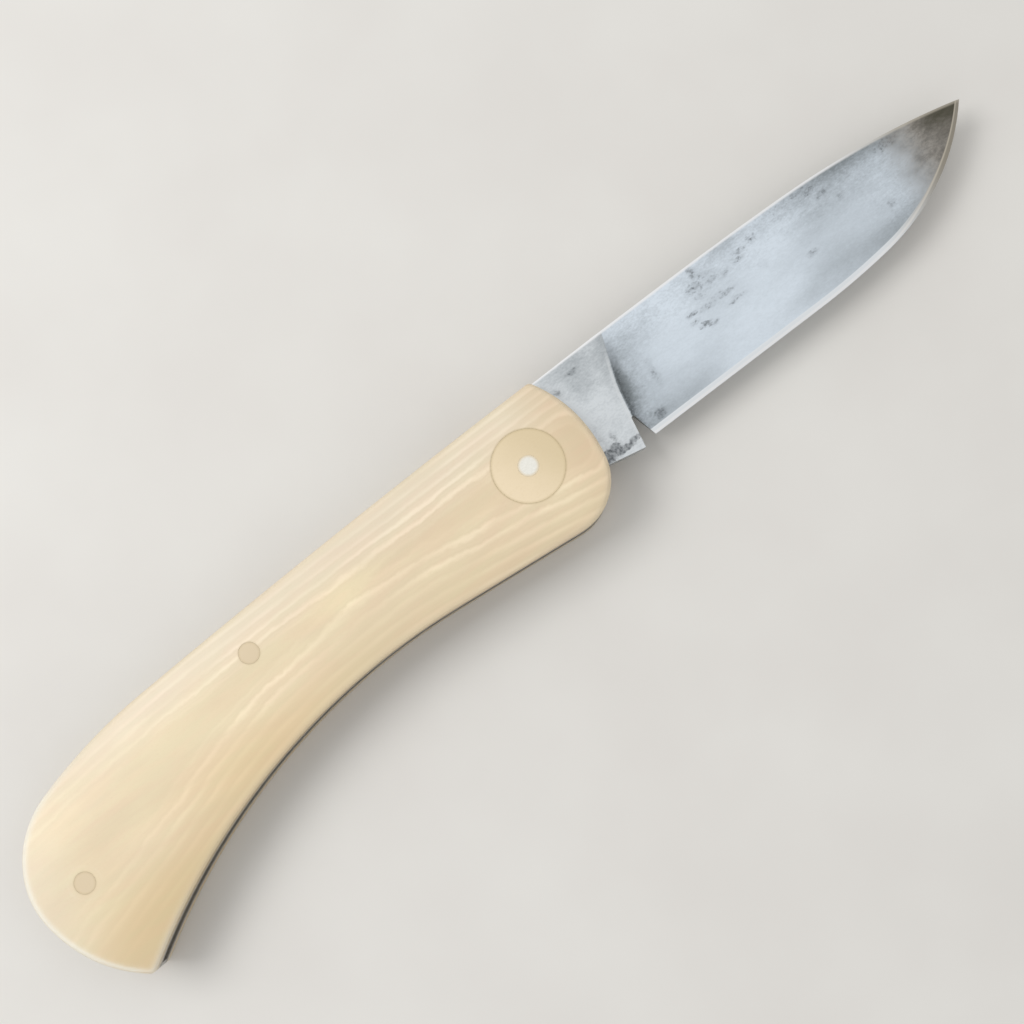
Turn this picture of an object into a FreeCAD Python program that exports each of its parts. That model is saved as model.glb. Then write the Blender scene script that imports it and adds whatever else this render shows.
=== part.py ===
import FreeCAD, Part
import math
import os
import re

import Sketcher
from FreeCAD import Rotation, Vector

# Slip-joint pocket knife, open, lying on its far side.
# The pivot axis is the Z axis, +X runs to the tip, +Y to the spine, and Z = 0 is the surface that it lies on.
# Every piece is drawn about the knife's middle plane and then lifted by half the handle's thickness.
# Reaches and heights are distances from the pivot axis, in millimetres, and slopes and turns are degrees.

SIZES = {
    # blade outline; the belly and both blends are measured back from the tip, and the notch's sides from the
    # heel and the kick
    "tip_reach": 86.75,
    "tip_height": 5.35,
    "spine_step": 0.15,
    "spine_ramp_reach": 20.0,
    "spine_drop_reach": 34.0,
    "spine_radius": 600.0,
    "spine_blend_reach": 30.75,
    "edge_depth": 7.25,
    "heel_reach": 18.55,
    "belly_reach": 36.75,
    "belly_blend_reach": 22.75,
    "belly_radius": 120.0,
    "notch_front_reach": 1.0,
    "notch_rear_reach": 0.96,
    "notch_depth": 3.25,
    "notch_round": 0.1875,
    "kick_reach": 15.97,
    # blade section
    "blade_thickness": 2.8,
    "spine_relief": 0.02,
    "edge_thickness": 0.45,
    "bevel_width": 0.9,
    "apex_thickness": 0.06,
    "plunge_reach": 18.8,
    "plunge_radius": 3.2,
    "plunge_lean": 10.0,
    "nick_reach": 36.0,
    "nick_height": 7.2,
    "nick_radius": 25.0,
    "nick_width": 1.1,
    "nick_depth": 0.75,
    "nick_tilt": 20.0,
    # slip joint: the tang's flats and the spring's seat; the well's turn is measured from the closed tip
    "seat_distance": 4.9,
    "seat_slope": 1.8,
    "closed_turn": 171.0,
    "tang_shoulder_reach": 1.5,
    "tang_round": 1.2,
    "seat_clearance": 0.02,
    "nose_gap": 0.05,
    "edge_clearance": 0.8,
    "tip_clearance": 3.5,
    "well_turn_reach": 16.75,
    "well_tail_radius": 40.0,
    # handle outline; the waist is measured from the closed tip
    "back_height": 9.91,
    "back_radius": 2000.0,
    "front_top_reach": 7.6,
    "front_top_round": 0.9,
    "front_radius": 21.7,
    "chin_reach": 6.75,
    "chin_slope": 6.0,
    "chin_round": 8.6,
    "waist_reach": 54.91,
    "waist_depth": 9.58,
    "waist_radius": 103.7,
    "beak_overhang": 0.7,
    "beak_round": 1.0,
    "butt_radius": 22.8,
    "pommel_overhang": 6.8,
    "pommel_round": 14.2,
    "shoulder_setback": 20.95,
    "shoulder_drop": 2.02,
    "shoulder_radius": 82.0,
    # handle section; the crown's axis is measured along from the waist, and down from the land's radius
    "liner_thickness": 1.2,
    "scale_thickness": 3.0,
    "crown_axis_reach": 9.84,
    "crown_axis_depth": 0.5,
    "land_radius": 199.5,
    "land_width": 8.0,
    "crown_radius": 40.0,
    "rim_bevel": 0.3,
    # pivot, pins and inlays
    "pivot_radius": 1.5875,
    "bushing_radius": 2.4,
    "washer_radius": 4.6,
    "washer_thickness": 0.1,
    "disc_radius": 5.53,
    "pin_radius": 1.2,
    "pin_wall": 1.3,
    "plug_radius": 1.6,
    "plug_depth": 1.4,
    "spring_pin_reach": 49.0,
    "tail_pin_overhang": 0.8,
    "tail_pin_depth": 9.25,
    # fits
    "side_clearance": 0.01,
    "running_clearance": 0.03,
    "pin_clearance": 0.01,
    "inlay_clearance": 0.02,
}

# Room that a cutter has beyond the solid that it works on, and its path before it meets the edge
SPARE = 20.0
RUN_UP = 5.0

doc = FreeCAD.newDocument("pocket_knife")
sheet = doc.addObject("Spreadsheet::Sheet", "Sizes")
for row, (alias, value) in enumerate(SIZES.items(), start=1):
    sheet.set(f"A{row}", alias)
    sheet.set(f"B{row}", str(value))
    sheet.setAlias(f"B{row}", alias)
doc.recompute()

ALIAS = re.compile(r"\b(" + "|".join(SIZES) + r")\b")


def formula(text):
    """Expression text in which each size names its cell of the sheet."""
    return ALIAS.sub(r"Sizes.\1", text)


def number(text):
    """Value of such an expression now."""
    value = sheet.evalExpression(formula(text))
    return float(getattr(value, "Value", value))


def lower_flat_y(x):
    """Height of the tang's lower flat, which ends in the kick, at a reach."""
    return f"(-(seat_distance + {x} * sin({TANG_SLOPE})) / cos({TANG_SLOPE}))"


def closing_radius(run, rise, radius, turn):
    """Radius of the arc over a run and rise that goes on smoothly from an arc of a given radius and length."""
    reach = f"sqrt({radius} ^ 2 - {turn} ^ 2)"
    return f"({radius} * ({run} ^ 2 + {rise} ^ 2) / (2 * ({rise} * {reach} - {run} * {turn})))"


# Heights above the middle plane
CHANNEL_HALF = "(blade_thickness / 2 + washer_thickness + side_clearance)"
LINER_OUTER = f"({CHANNEL_HALF} + liner_thickness)"
SCALE_OUTER = f"({LINER_OUTER} + scale_thickness)"

# Handle outline: the corners before rounding, and the points where arcs run smoothly into lines
BACK_RUN = "(front_top_reach + tip_reach - shoulder_setback)"
BACK_LENGTH = f"sqrt({BACK_RUN} ^ 2 + shoulder_drop ^ 2)"
BACK_DEPTH = f"sqrt(back_radius ^ 2 - ({BACK_LENGTH} / 2) ^ 2)"
SHOULDER_X = "(shoulder_setback - tip_reach)"
SHOULDER_Y = "(back_height - shoulder_drop)"
BACK_CENTRE_X = f"({SHOULDER_X} + {BACK_RUN} / 2 + {BACK_DEPTH} * shoulder_drop / {BACK_LENGTH})"
BACK_CENTRE_Y = f"({SHOULDER_Y} + shoulder_drop / 2 - {BACK_DEPTH} * {BACK_RUN} / {BACK_LENGTH})"
SHOULDER_SHARE = "(shoulder_radius / back_radius)"
SHOULDER_CENTRE_X = f"({SHOULDER_X} + ({BACK_CENTRE_X} - {SHOULDER_X}) * {SHOULDER_SHARE})"
SHOULDER_CENTRE_Y = f"({SHOULDER_Y} + ({BACK_CENTRE_Y} - {SHOULDER_Y}) * {SHOULDER_SHARE})"
POMMEL_X = "(-tip_reach - pommel_overhang)"
POMMEL_Y = f"({SHOULDER_CENTRE_Y} + sqrt(shoulder_radius ^ 2 - ({POMMEL_X} - {SHOULDER_CENTRE_X}) ^ 2))"
BEAK_X = "(-tip_reach - beak_overhang)"
WAIST_X = "(waist_reach - tip_reach)"
BEAK_Y = f"(sqrt(waist_radius ^ 2 - ({BEAK_X} - {WAIST_X}) ^ 2) - waist_radius - waist_depth)"
WAIST_END_X = f"({WAIST_X} + waist_radius * sin(chin_slope))"
WAIST_END_Y = "(waist_radius * cos(chin_slope) - waist_radius - waist_depth)"
CHIN_Y = f"({WAIST_END_Y} - (chin_reach - {WAIST_END_X}) * tan(chin_slope))"

FRONT_TOP = ("front_top_reach", "back_height")
POMMEL = (POMMEL_X, POMMEL_Y)
BEAK = (BEAK_X, BEAK_Y)
CHIN = ("chin_reach", CHIN_Y)
HANDLE_CORNERS = [FRONT_TOP, (SHOULDER_X, SHOULDER_Y), POMMEL, BEAK, (WAIST_END_X, WAIST_END_Y), CHIN]
HANDLE_BENDS = ["back_radius", "shoulder_radius", "butt_radius", "-waist_radius", None, "front_radius"]
HANDLE_ROUNDS = {
    "front_top_round": FRONT_TOP,
    "pommel_round": POMMEL,
    "beak_round": BEAK,
    "chin_round": CHIN,
}

# Slip joint: the seat rises towards the butt, and the tang's lower flat meets it once the blade is closed
FOLD = "(180 - closed_turn)"
TANG_SLOPE = f"({FOLD} + seat_slope)"
SHOULDER_SEAT_Y = "((seat_distance - tang_shoulder_reach * sin(seat_slope)) / cos(seat_slope))"
TANG_BACK_Y = f"({BACK_CENTRE_Y} + sqrt(back_radius ^ 2 - (tang_shoulder_reach - {BACK_CENTRE_X}) ^ 2))"
TANG_TOP = (
    "seat_distance * (sin(seat_slope) - cos(seat_slope))",
    "seat_distance * (cos(seat_slope) + sin(seat_slope))",
)
TANG_TURN = f"({TANG_SLOPE} + seat_slope)"
TANG_SPREAD = f"((1 - sin({TANG_TURN})) / cos({TANG_TURN}))"
TANG_FOOT = (
    f"-seat_distance * (cos(seat_slope) + {TANG_SPREAD} * sin(seat_slope))",
    f"seat_distance * (sin(seat_slope) - {TANG_SPREAD} * cos(seat_slope))",
)

# Blade outline: spine and edge each bend in one arc and then run to the tip in a tighter one
TIP = ("tip_reach", "tip_height")
SPINE_Y = "(back_height + spine_step)"
SPINE_BLEND_X = "(tip_reach - spine_blend_reach)"
SPINE_TURN = f"({SPINE_BLEND_X} - spine_drop_reach)"
SPINE_BLEND_Y = f"({SPINE_Y} - spine_radius + sqrt(spine_radius ^ 2 - {SPINE_TURN} ^ 2))"
SPINE_POINT_FALL = f"({SPINE_BLEND_Y} - tip_height)"
SPINE_POINT_RADIUS = closing_radius("spine_blend_reach", SPINE_POINT_FALL, "spine_radius", SPINE_TURN)
BELLY_X = "(tip_reach - belly_reach)"
BELLY_BLEND_X = "(tip_reach - belly_blend_reach)"
BELLY_TURN = "(belly_reach - belly_blend_reach)"
BELLY_BLEND_Y = f"(belly_radius - sqrt(belly_radius ^ 2 - {BELLY_TURN} ^ 2) - edge_depth)"
POINT_RISE = f"(tip_height - {BELLY_BLEND_Y})"
POINT_HEADING = f"(2 * atan({POINT_RISE} / belly_blend_reach) - asin({BELLY_TURN} / belly_radius))"
EDGE_CURVE = [(BELLY_X, "-edge_depth"), (BELLY_BLEND_X, BELLY_BLEND_Y), TIP]
EDGE_BENDS = ["belly_radius", closing_radius("belly_blend_reach", POINT_RISE, "belly_radius", BELLY_TURN)]

# Where the closed blade lies: its tip and its straight edge
CLOSED_TIP_X = f"(tip_height * sin({FOLD}) - tip_reach * cos({FOLD}))"
CLOSED_TIP_Y = f"(-tip_reach * sin({FOLD}) - tip_height * cos({FOLD}))"

# Pins; the spring pin stands clear of the closed edge with a wall of spring round it
PIN_STAND_OFF = "(edge_depth + edge_clearance + pin_wall + pin_radius)"
SPRING_PIN = ("-spring_pin_reach", f"({PIN_STAND_OFF} / cos({FOLD}) - spring_pin_reach * tan({FOLD}))")
TAIL_PIN = ("(-tip_reach - tail_pin_overhang)", "-tail_pin_depth")
PIVOT = ("0", "0")
PINS = {"spring": SPRING_PIN, "tail": TAIL_PIN}


def arc_between(start, end, radius):
    """Arc of under half a turn, bending left for a positive radius and right for a negative one."""
    chord = end - start
    left = Vector(-chord.y, chord.x, 0).normalize()
    reach = math.sqrt(radius**2 - (chord.Length / 2) ** 2)
    centre = start + chord / 2 + left * math.copysign(reach, radius)
    first, last = (start, end) if radius > 0 else (end, start)
    circle = Part.Circle(centre, Vector(0, 0, 1), abs(radius))
    return Part.ArcOfCircle(circle, circle.parameter(first), circle.parameter(last))


def dimension(sketch, kind, place, text):
    """Driving dimension of a sketch, bound to its expression."""
    index = sketch.addConstraint(Sketcher.Constraint(kind, *place, number(text)))
    sketch.setExpression(f"Constraints[{index}]", formula(text))


def draw(sketch, corners, bends):
    """Closed outline: bends[i] is the radius of the stretch after corners[i], or None for a straight one."""
    points = [Vector(number(x), number(y), 0) for x, y in corners]
    stretches = []
    for index, bend in enumerate(bends):
        start, end = points[index], points[(index + 1) % len(points)]
        radius = number(bend) if bend else 0
        shape = arc_between(start, end, radius) if bend else Part.LineSegment(start, end)
        tail, head = (2, 1) if radius < 0 else (1, 2)
        stretches.append((sketch.addGeometry(shape, False), tail, head))
    for index, (this, tail, head) in enumerate(stretches):
        after, after_tail, _ = stretches[(index + 1) % len(stretches)]
        sketch.addConstraint(Sketcher.Constraint("Coincident", this, head, after, after_tail))
        dimension(sketch, "DistanceX", (-1, 1, this, tail), corners[index][0])
        dimension(sketch, "DistanceY", (-1, 1, this, tail), corners[index][1])
        if bends[index]:
            dimension(sketch, "Radius", (this,), f"abs({bends[index]})")


def draw_circle(sketch, centre, radius):
    """Circle at a point given as two expressions."""
    x, y = centre
    circle = Part.Circle(Vector(number(x), number(y), 0), Vector(0, 0, 1), number(radius))
    index = sketch.addGeometry(circle, False)
    dimension(sketch, "DistanceX", (-1, 1, index, 3), x)
    dimension(sketch, "DistanceY", (-1, 1, index, 3), y)
    dimension(sketch, "Radius", (index,), radius)


def new_body(label, lifted=True):
    """Body about the middle plane, lifted to where the knife lies."""
    body = doc.addObject("PartDesign::Body", label)
    body.Label = label
    if lifted:
        body.setExpression("Placement.Base.z", formula(SCALE_OUTER))
    return body


def new_sketch(body, name, level="0", role="XY_Plane"):
    """Sketch on one of the body's own planes, raised along its normal to a level."""
    sketch = body.newObject("Sketcher::SketchObject", name)
    plane = next(feature for feature in body.Origin.OriginFeatures if feature.Role == role)
    sketch.AttachmentSupport = [(plane, "")]
    sketch.MapMode = "FlatFace"
    sketch.setExpression("AttachmentOffset.Base.z", formula(level))
    return sketch


def pad(body, sketch, name, length, both_sides=False):
    """Pad upwards, or to both sides of the sketch."""
    feature = body.newObject("PartDesign::Pad", name)
    feature.Profile = sketch
    feature.SideType = "Symmetric" if both_sides else "One side"
    feature.setExpression("Length", formula(length))
    doc.recompute()
    return feature


def pocket_up(body, sketch, name, depth):
    """Pocket from the sketch upwards."""
    before = body.Shape.Volume
    feature = body.newObject("PartDesign::Pocket", name)
    feature.Profile = sketch
    feature.Reversed = True
    feature.setExpression("Length", formula(depth))
    doc.recompute()
    if not feature.Shape.Volume < before:
        raise RuntimeError(f"{name} cuts nothing")
    return feature


def upright_edges(shape, corner):
    """Names of the edges that stand upright on a corner of the outline."""
    x, y = number(corner[0]), number(corner[1])
    names = []
    for index, edge in enumerate(shape.Edges, start=1):
        if all(math.hypot(v.X - x, v.Y - y) < 1e-4 for v in edge.Vertexes):
            names.append(f"Edge{index}")
    return names


def round_corners(body, rounds):
    """Fillet of each upright corner edge, named by its radius; corners may be one point or several."""
    for radius, corners in rounds.items():
        base = body.Tip
        fillet = body.newObject("PartDesign::Fillet", f"{body.Label}_{radius}")
        chosen = [corners] if isinstance(corners, tuple) else corners
        shape = base.Shape
        fillet.Base = (base, [name for corner in chosen for name in upright_edges(shape, corner)])
        fillet.setExpression("Radius", formula(radius))
        doc.recompute()


def handle_plate(label, level, thickness):
    """Plate with the handle's outline and rounded corners, above a level."""
    body = new_body(label)
    sketch = new_sketch(body, f"{label}_outline", level)
    draw(sketch, HANDLE_CORNERS, HANDLE_BENDS)
    pad(body, sketch, f"{label}_plate", thickness)
    round_corners(body, HANDLE_ROUNDS)
    return body


def crown(body):
    """Turned cut that leaves a flat land along the handle's bend and rolls off to both edges."""
    sketch = new_sketch(body, f"{body.Label}_crown", f"{WAIST_X} + crown_axis_reach", "YZ_Plane")
    sketch.setExpression("AttachmentOffset.Base.x", formula("-land_radius - crown_axis_depth"))
    inner = "(land_radius - land_width / 2)"
    outer = "(land_radius + land_width / 2)"
    fall = f"({SCALE_OUTER} + sqrt(crown_radius ^ 2 - {SPARE} ^ 2) - crown_radius)"
    top = f"({SCALE_OUTER} + {SPARE})"
    corners = [
        (f"({outer} + {SPARE})", fall),
        (f"({outer} + {SPARE})", top),
        (f"({inner} - {SPARE})", top),
        (f"({inner} - {SPARE})", fall),
        (inner, SCALE_OUTER),
        (outer, SCALE_OUTER),
    ]
    draw(sketch, corners, [None, None, None, "-crown_radius", None, "-crown_radius"])
    before = body.Shape.Volume
    groove = body.newObject("PartDesign::Groove", f"{body.Label}_crown_cut")
    groove.Profile = sketch
    groove.ReferenceAxis = (sketch, ["V_Axis"])
    groove.Angle = 360
    doc.recompute()
    if not groove.Shape.Volume < before:
        raise RuntimeError(f"the crown cuts nothing from {body.Label}")


def is_wall(face):
    """Whether a face stands upright."""
    u0, u1, v0, v1 = face.ParameterRange
    return abs(face.normalAt((u0 + u1) / 2, (v0 + v1) / 2).z) < 1e-6


def rim_edges(shape):
    """Names of the edges where the upright walls meet the outer face."""
    level = number(f"{LINER_OUTER} + scale_thickness / 10")
    names = []
    for index, edge in enumerate(shape.Edges, start=1):
        walls = [is_wall(face) for face in shape.ancestorsOfType(edge, Part.Face)]
        if sorted(walls) == [False, True] and edge.CenterOfMass.z > level:
            names.append(f"Edge{index}")
    return names


def make_scale():
    """Handle cover: crowned outer face, bevelled rim, bore for the pivot disc and sunk seats for the plugs."""
    body = handle_plate("near_scale", LINER_OUTER, f"scale_thickness + {SPARE} / 10")
    crown(body)
    rim = body.newObject("PartDesign::Chamfer", "near_scale_rim")
    base = body.getObject("near_scale_crown_cut")
    rim.Base = (base, rim_edges(base.Shape))
    rim.setExpression("Size", formula("rim_bevel"))
    doc.recompute()
    bores = new_sketch(body, "near_scale_bores")
    draw_circle(bores, PIVOT, "disc_radius + inlay_clearance")
    for centre in PINS.values():
        draw_circle(bores, centre, "pin_radius + pin_clearance")
    pocket_up(body, bores, "near_scale_bore_cut", f"{SCALE_OUTER} + {SPARE}")
    seats = new_sketch(body, "near_scale_seats", f"{SCALE_OUTER} - plug_depth")
    for centre in PINS.values():
        draw_circle(seats, centre, "plug_radius + inlay_clearance")
    pocket_up(body, seats, "near_scale_seat_cut", f"plug_depth + {SPARE}")
    return body


def make_liner():
    """Steel plate under the cover, with holes for the pivot and both pins."""
    body = handle_plate("near_liner", CHANNEL_HALF, "liner_thickness")
    holes = new_sketch(body, "near_liner_holes")
    draw_circle(holes, PIVOT, "pivot_radius + pin_clearance")
    for centre in PINS.values():
        draw_circle(holes, centre, "pin_radius + pin_clearance")
    pocket_up(body, holes, "near_liner_hole_cut", f"{SCALE_OUTER} + {SPARE}")
    return body


def make_backspring():
    """Leaf along the back and round the butt: the handle's outline less the well for the closed blade."""
    body = handle_plate("backspring", f"-{CHANNEL_HALF}", f"2 * {CHANNEL_HALF}")
    nose_x = "(tang_shoulder_reach - nose_gap)"
    seat = "(seat_distance + seat_clearance)"
    nose_y = f"(({seat} - {nose_x} * sin(seat_slope)) / cos(seat_slope))"
    well_rise = f"((edge_depth + edge_clearance) / cos({FOLD}))"
    kick_x = f"(({seat} / cos(seat_slope) - {well_rise}) / (tan({FOLD}) + tan(seat_slope)))"
    turn_x = "(well_turn_reach - tip_reach)"
    corners = [
        (nose_x, f"back_height + {SPARE}"),
        (nose_x, nose_y),
        (kick_x, f"({kick_x} * tan({FOLD}) + {well_rise})"),
        (turn_x, f"({turn_x} * tan({FOLD}) + {well_rise})"),
        (f"({CLOSED_TIP_X} - tip_clearance)", CLOSED_TIP_Y),
        (f"({CLOSED_TIP_X} + tip_clearance)", f"({CLOSED_TIP_Y} - {SPARE} - tip_clearance)"),
        (f"tip_reach + {SPARE}", f"({CLOSED_TIP_Y} - {SPARE} - tip_clearance)"),
        (f"tip_reach + {SPARE}", f"back_height + {SPARE}"),
    ]
    well = new_sketch(body, "backspring_well", f"-{CHANNEL_HALF} - {SPARE}")
    draw(well, corners, [None, None, None, "well_tail_radius", None, None, None, None])
    pocket_up(body, well, "backspring_well_cut", f"2 * ({CHANNEL_HALF} + {SPARE})")
    holes = new_sketch(body, "backspring_holes", f"-{CHANNEL_HALF} - {SPARE}")
    for centre in PINS.values():
        draw_circle(holes, centre, "pin_radius + pin_clearance")
    pocket_up(body, holes, "backspring_hole_cut", f"2 * ({CHANNEL_HALF} + {SPARE})")
    return body


def make_blank():
    """Near half of the blade before grinding: outline with tang, and the bore that turns on the bushing."""
    body = new_body("blade_blank", lifted=False)
    kick_end = "((kick_reach + heel_reach) / 2)"
    corners = [
        TIP,
        (SPINE_BLEND_X, SPINE_BLEND_Y),
        ("spine_drop_reach", SPINE_Y),
        ("spine_ramp_reach", SPINE_Y),
        ("tang_shoulder_reach", TANG_BACK_Y),
        ("tang_shoulder_reach", SHOULDER_SEAT_Y),
        TANG_TOP,
        TANG_FOOT,
        (kick_end, lower_flat_y(kick_end)),
        (kick_end, "-edge_depth"),
        *EDGE_CURVE[:-1],
    ]
    outline = new_sketch(body, "blade_outline")
    draw(outline, corners, [SPINE_POINT_RADIUS, "spine_radius"] + [None] * 8 + EDGE_BENDS)
    draw_circle(outline, PIVOT, "bushing_radius + running_clearance")
    pad(body, outline, "blade_stock", "blade_thickness / 2")
    round_corners(body, {"tang_round": [TANG_TOP, TANG_FOOT]})
    return body


def make_notch():
    """Cutter for the notch between the kick and the heel, each of which it leaves as a sharp corner."""
    sketch = doc.addObject("Sketcher::SketchObject", "notch")
    front_x = "(heel_reach - notch_front_reach)"
    rear_x = "(kick_reach + notch_rear_reach)"
    bend = f"((({front_x} - {rear_x}) ^ 2 / 4 + notch_round ^ 2) / (2 * notch_round))"
    kick_y = lower_flat_y("kick_reach")
    below = "(edge_depth - notch_depth)"
    corners = [
        ("(kick_reach - notch_rear_reach)", f"(2 * {kick_y} + notch_depth)"),
        ("(heel_reach + notch_front_reach)", f"(-edge_depth - {below})"),
        (front_x, "-notch_depth"),
        (rear_x, "-notch_depth"),
    ]
    draw(sketch, corners, [None, None, bend, None])
    cutter = doc.addObject("Part::Extrusion", "notch_cutter")
    cutter.Base = sketch
    cutter.DirMode = "Normal"
    cutter.Solid = True
    cutter.Symmetric = True
    cutter.setExpression("LengthFwd", formula("2 * blade_thickness"))
    doc.recompute()
    return cutter


def edge_cutter(name, start_x, level, slope, lean, height):
    """Block whose underside comes in below the edge curve and rises to the spine, leaning to the tip."""
    run = height / slope
    path = Vector(lean, 1, slope)
    sketch = doc.addObject("Sketcher::SketchObject", name)
    beyond_x = f"(tip_reach + {SPARE} * cos({POINT_HEADING}))"
    beyond_y = f"(tip_height + {SPARE} * sin({POINT_HEADING}))"
    corners = [
        (start_x, "-edge_depth"),
        *EDGE_CURVE,
        (beyond_x, beyond_y),
        (beyond_x, f"(-edge_depth - {run} - {SPARE})"),
        (f"({start_x} - {lean * (run + SPARE)})", f"(-edge_depth - {run} - {SPARE})"),
    ]
    draw(sketch, corners, [None, *EDGE_BENDS, None, None, None, None])
    sketch.Placement.Base = Vector(0, 0, number(level)) - path * RUN_UP
    block = doc.addObject("Part::Extrusion", f"{name}_block")
    block.Base = sketch
    block.DirMode = "Custom"
    block.Dir = path
    block.LengthFwd = path.Length * run
    block.Solid = True
    doc.recompute()
    return block


def mirrored(source, label, middle):
    """The same shape on the other side of the middle plane."""
    mirror = doc.addObject("Part::Mirroring", label)
    mirror.Label = label
    mirror.Source = source
    mirror.Normal = Vector(0, 0, 1)
    mirror.setExpression("Base.z", formula(middle))
    doc.recompute()
    return mirror


def cut(base, tool, label):
    """One shape less another."""
    result = doc.addObject("Part::Cut", label)
    result.Base = base
    result.Tool = tool
    doc.recompute()
    return result


def make_grind():
    """Flat bevel from spine to edge, run out into the ricasso by a leaning cove."""
    rise = "blade_thickness / 2 - spine_relief - edge_thickness / 2"
    slope = number(f"({rise}) / ({SPINE_Y} + edge_depth)")
    lean = number("tan(plunge_lean)")
    wall_x = "(plunge_reach - plunge_radius / cos(plunge_lean))"
    height = number("plunge_radius + blade_thickness")
    block = edge_cutter("grind", wall_x, "edge_thickness / 2", slope, lean, height)
    start = Vector(number(wall_x), number("-edge_depth"), number("edge_thickness / 2"))
    path = Vector(lean, 1, slope)
    for index, edge in enumerate(block.Shape.Edges, start=1):
        if all((v.Point - start).cross(path).Length < 1e-6 for v in edge.Vertexes):
            foot = index
    plunge = doc.addObject("Part::Fillet", "plunge")
    plunge.Base = block
    plunge.Edges = [(foot, number("plunge_radius"), number("plunge_radius"))]
    doc.recompute()
    return plunge, slope


def make_nick():
    """Disc-shaped cutter that leaves a nail nick in the far face, steep on the side of the spine."""
    wheel = doc.addObject("Part::Cylinder", "nick_wheel")
    wheel.setExpression("Radius", formula("nick_radius"))
    wheel.setExpression("Height", formula("nick_width"))
    tilt = number("nick_tilt")
    face = number("nick_depth - blade_thickness / 2")
    lift = number("nick_radius") * math.cos(math.radians(tilt))
    turn = Rotation(Vector(1, 0, 0), 90 + tilt)
    shift = number("nick_radius") * math.sin(math.radians(tilt))
    centre = Vector(number("nick_reach"), number("nick_height") + shift, face - lift)
    wheel.Placement = FreeCAD.Placement(centre, turn)
    doc.recompute()
    return wheel


def make_blade():
    """Blade ground on both sides, with the edge bevels, the notch and the nail nick."""
    near_grind, slope = make_grind()
    apex = number("apex_thickness / 2")
    bevel_rise = number("edge_thickness / 2") + slope * number("bevel_width") - apex
    bevel_start = "(heel_reach - notch_front_reach / 2)"
    steep = bevel_rise / number("bevel_width")
    near_bevel = edge_cutter("bevel", bevel_start, "apex_thickness / 2", steep, 0, number("blade_thickness"))
    near_half = cut(cut(make_blank(), near_grind, "grind_cut"), near_bevel, "bevel_cut")
    whole = doc.addObject("Part::Fuse", "blade_ground")
    whole.Base = near_half
    whole.Tool = mirrored(near_half, "far_half", "0")
    whole.Refine = True
    doc.recompute()
    blade = cut(cut(whole, make_notch(), "notch_cut"), make_nick(), "blade")
    blade.setExpression("Placement.Base.z", formula(SCALE_OUTER))
    doc.recompute()
    return blade


def make_ring(label, inner, outer, level, height, both_sides=False):
    """Ring about the pivot."""
    body = new_body(label)
    sketch = new_sketch(body, f"{label}_section", level)
    draw_circle(sketch, PIVOT, outer)
    draw_circle(sketch, PIVOT, inner)
    pad(body, sketch, f"{label}_ring", height, both_sides)
    return body


def make_disc():
    """Inlay about the pivot, as thick as the cover and crowned with it."""
    raised = f"scale_thickness + {SPARE} / 10"
    body = make_ring("near_pivot_disc", "pivot_radius + pin_clearance", "disc_radius", LINER_OUTER, raised)
    crown(body)
    return body


def make_plug(label, centre):
    """Plug over the end of a pin, crowned with the cover."""
    body = new_body(label)
    sketch = new_sketch(body, f"{label}_section", f"{SCALE_OUTER} - plug_depth")
    draw_circle(sketch, centre, "plug_radius")
    pad(body, sketch, f"{label}_rod", f"plug_depth + {SPARE} / 10")
    crown(body)
    return body


def make_pin(label, centre, radius, length):
    """Straight pin through the middle plane."""
    pin = doc.addObject("Part::Cylinder", label)
    pin.Label = label
    pin.setExpression("Radius", formula(radius))
    pin.setExpression("Height", formula(length))
    pin.setExpression("Placement.Base.x", formula(centre[0]))
    pin.setExpression("Placement.Base.y", formula(centre[1]))
    pin.setExpression("Placement.Base.z", formula(f"{SCALE_OUTER} - ({length}) / 2"))
    doc.recompute()
    return pin


near_pieces = [
    make_scale(),
    make_liner(),
    make_disc(),
    make_plug("near_spring_plug", SPRING_PIN),
    make_plug("near_tail_plug", TAIL_PIN),
    make_ring(
        "near_washer",
        "bushing_radius + running_clearance",
        "washer_radius",
        f"{CHANNEL_HALF} - washer_thickness",
        "washer_thickness",
    ),
]
far_pieces = [mirrored(piece, piece.Label.replace("near", "far"), SCALE_OUTER) for piece in near_pieces]
under_plugs = f"2 * ({SCALE_OUTER} - plug_depth)"
middle_pieces = [
    make_blade(),
    make_backspring(),
    make_ring(
        "pivot_bushing",
        "pivot_radius + pin_clearance",
        "bushing_radius",
        "0",
        f"2 * {CHANNEL_HALF}",
        both_sides=True,
    ),
    make_pin("pivot_pin", PIVOT, "pivot_radius", f"2 * {SCALE_OUTER}"),
    make_pin("spring_pin", SPRING_PIN, "pin_radius", under_plugs),
    make_pin("tail_pin", TAIL_PIN, "pin_radius", under_plugs),
]
pieces = near_pieces + far_pieces + middle_pieces

doc.recompute()
for item in doc.Objects:
    if "Invalid" in item.State or "Error" in item.State:
        raise RuntimeError(f"{item.Label} failed to build")
for piece in pieces:
    shape = piece.Shape
    if shape.isNull() or not shape.isValid() or len(shape.Solids) != 1:
        raise RuntimeError(f"{piece.Label} is not one valid solid")

os.makedirs("parts", exist_ok=True)
for piece in pieces:
    piece.Shape.exportStep(f"parts/{piece.Label}.step")
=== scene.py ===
import functools
import math

import bpy
from mathutils import Matrix, Vector


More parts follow.
